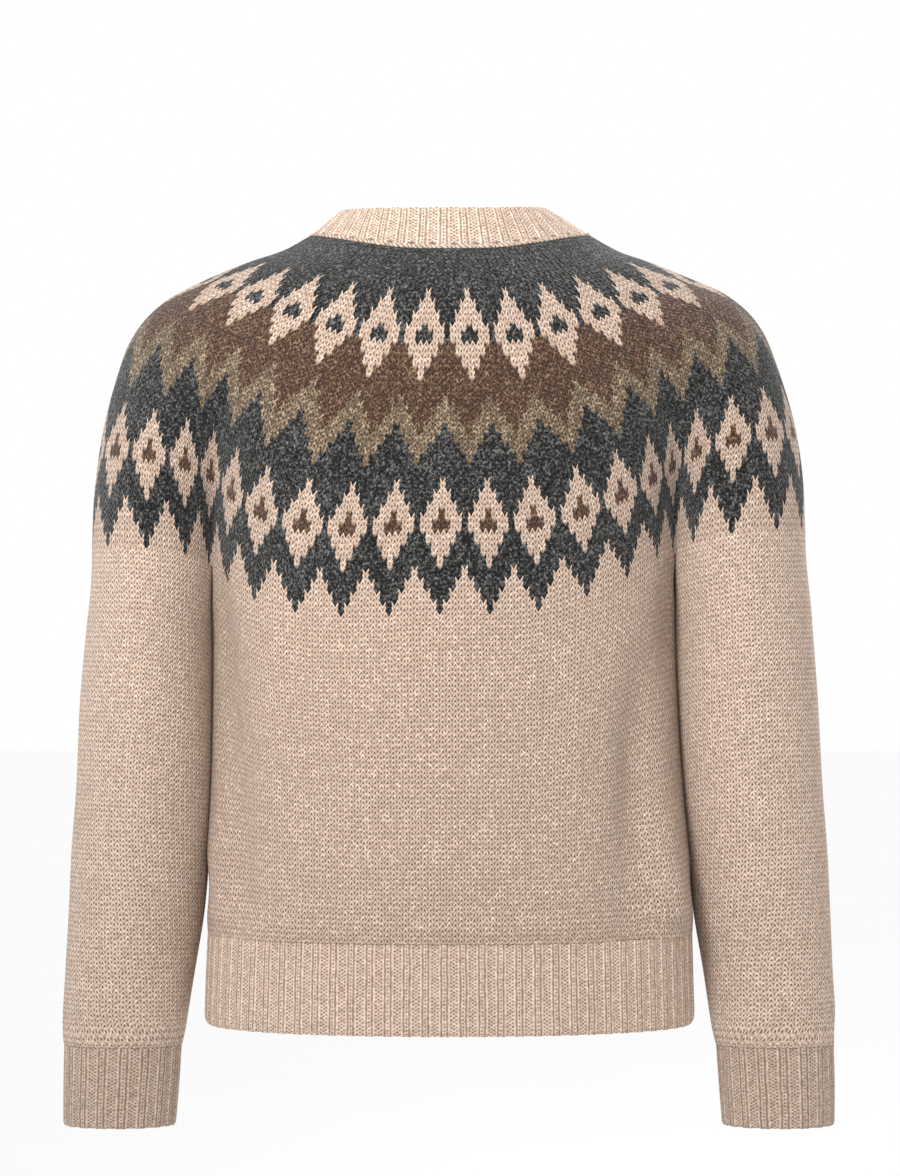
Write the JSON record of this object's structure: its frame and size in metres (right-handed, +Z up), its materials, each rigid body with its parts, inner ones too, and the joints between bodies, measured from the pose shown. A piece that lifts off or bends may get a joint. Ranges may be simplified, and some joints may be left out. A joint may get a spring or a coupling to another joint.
{
  "type": "jacquard cardigan",
  "caption": "Long-sleeved wool cardigan with a patterned round yoke, ribbed neck, cuffs and hem, and buttons down the front, filled out as if worn.",
  "frame": {"origin": "middle of the neck, level with the base of the neckband at the back, where a wearer's neck would be", "axes": "+Z up, +Y out of the back, +X to the wearer's left; the buttoned front faces -Y"},
  "size_m": [0.5445, 0.2413, 0.6442],
  "materials": {
    "jacquard_knit": "stranded two-colour wool, matt, soft surface fibres",
    "plain_knit": "plain wool knit, matt, soft surface fibres",
    "rib_knit": "two-by-two wool rib, matt",
    "button_horn": "dark horn-like, satin"
  },
  "bodies": {
    "root": {"yoke": "jacquard_knit", "back": "plain_knit", "front_left": "plain_knit", "front_right": "plain_knit", "sleeve_left": "plain_knit", "sleeve_right": "plain_knit", "hem_rib": "rib_knit", "cuff_left": "rib_knit", "cuff_right": "rib_knit", "neckband": "rib_knit", "button_band": "rib_knit", "buttonhole_band": "rib_knit", "button_1": "button_horn", "button_2": "button_horn", "button_3": "button_horn", "button_4": "button_horn", "button_5": "button_horn", "button_6": "button_horn", "button_7": "button_horn"}
  },
  "joints": []
}
